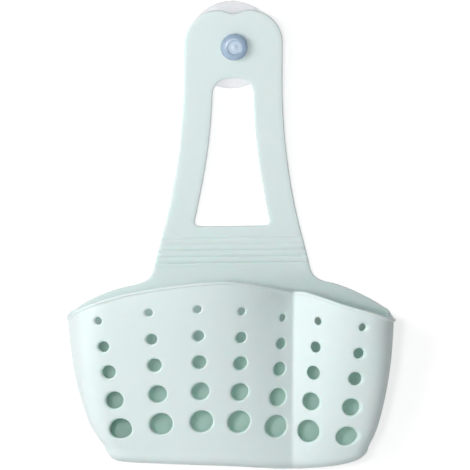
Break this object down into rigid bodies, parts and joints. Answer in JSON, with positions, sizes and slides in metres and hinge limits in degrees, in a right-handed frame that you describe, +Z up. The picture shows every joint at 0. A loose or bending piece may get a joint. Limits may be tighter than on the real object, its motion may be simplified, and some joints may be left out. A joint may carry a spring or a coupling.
{
  "type": "hanging sink caddy",
  "caption": "Soft perforated drain basket on a long windowed strap with a ribbed folding band, hung from a clear suction cup through the strap's neck hole.",
  "frame": {"origin": "centre of the suction cup's sealing face, on the wall plane", "axes": "+Z up the strap, +Y into the wall that the cup sticks to, -Y out of the basket's front, +X to the right seen from the front"},
  "size_m": [0.1699, 0.0499, 0.2403],
  "materials": {
    "soft_body": "matt soft thermoplastic rubber, pale mint, slightly translucent",
    "clear_cup": "clear soft PVC with a faint blue tint, glossy"
  },
  "bodies": {
    "cup": {"suction_cup": "clear_cup"},
    "strap": {"strap_handle": "soft_body", "flex_band": "soft_body"},
    "basket": {"basket_back_wall": "soft_body", "basket_front_wall": "soft_body", "basket_floor": "soft_body"}
  },
  "joints": [
    {"name": "strap_swivel", "type": "hinge", "parent": "cup", "child": "strap", "pos_m": [0, 0, 0], "axis": [0, -1, 0], "continuous": true},
    {"name": "basket_fold", "type": "hinge", "parent": "strap", "child": "basket", "pos_m": [0, -0.00165, -0.1058], "axis": [-1, 0, 0], "range_deg": [0, 80], "stiffness_Nm_per_rad": 0.02, "deforming": ["flex_band"]}
  ]
}
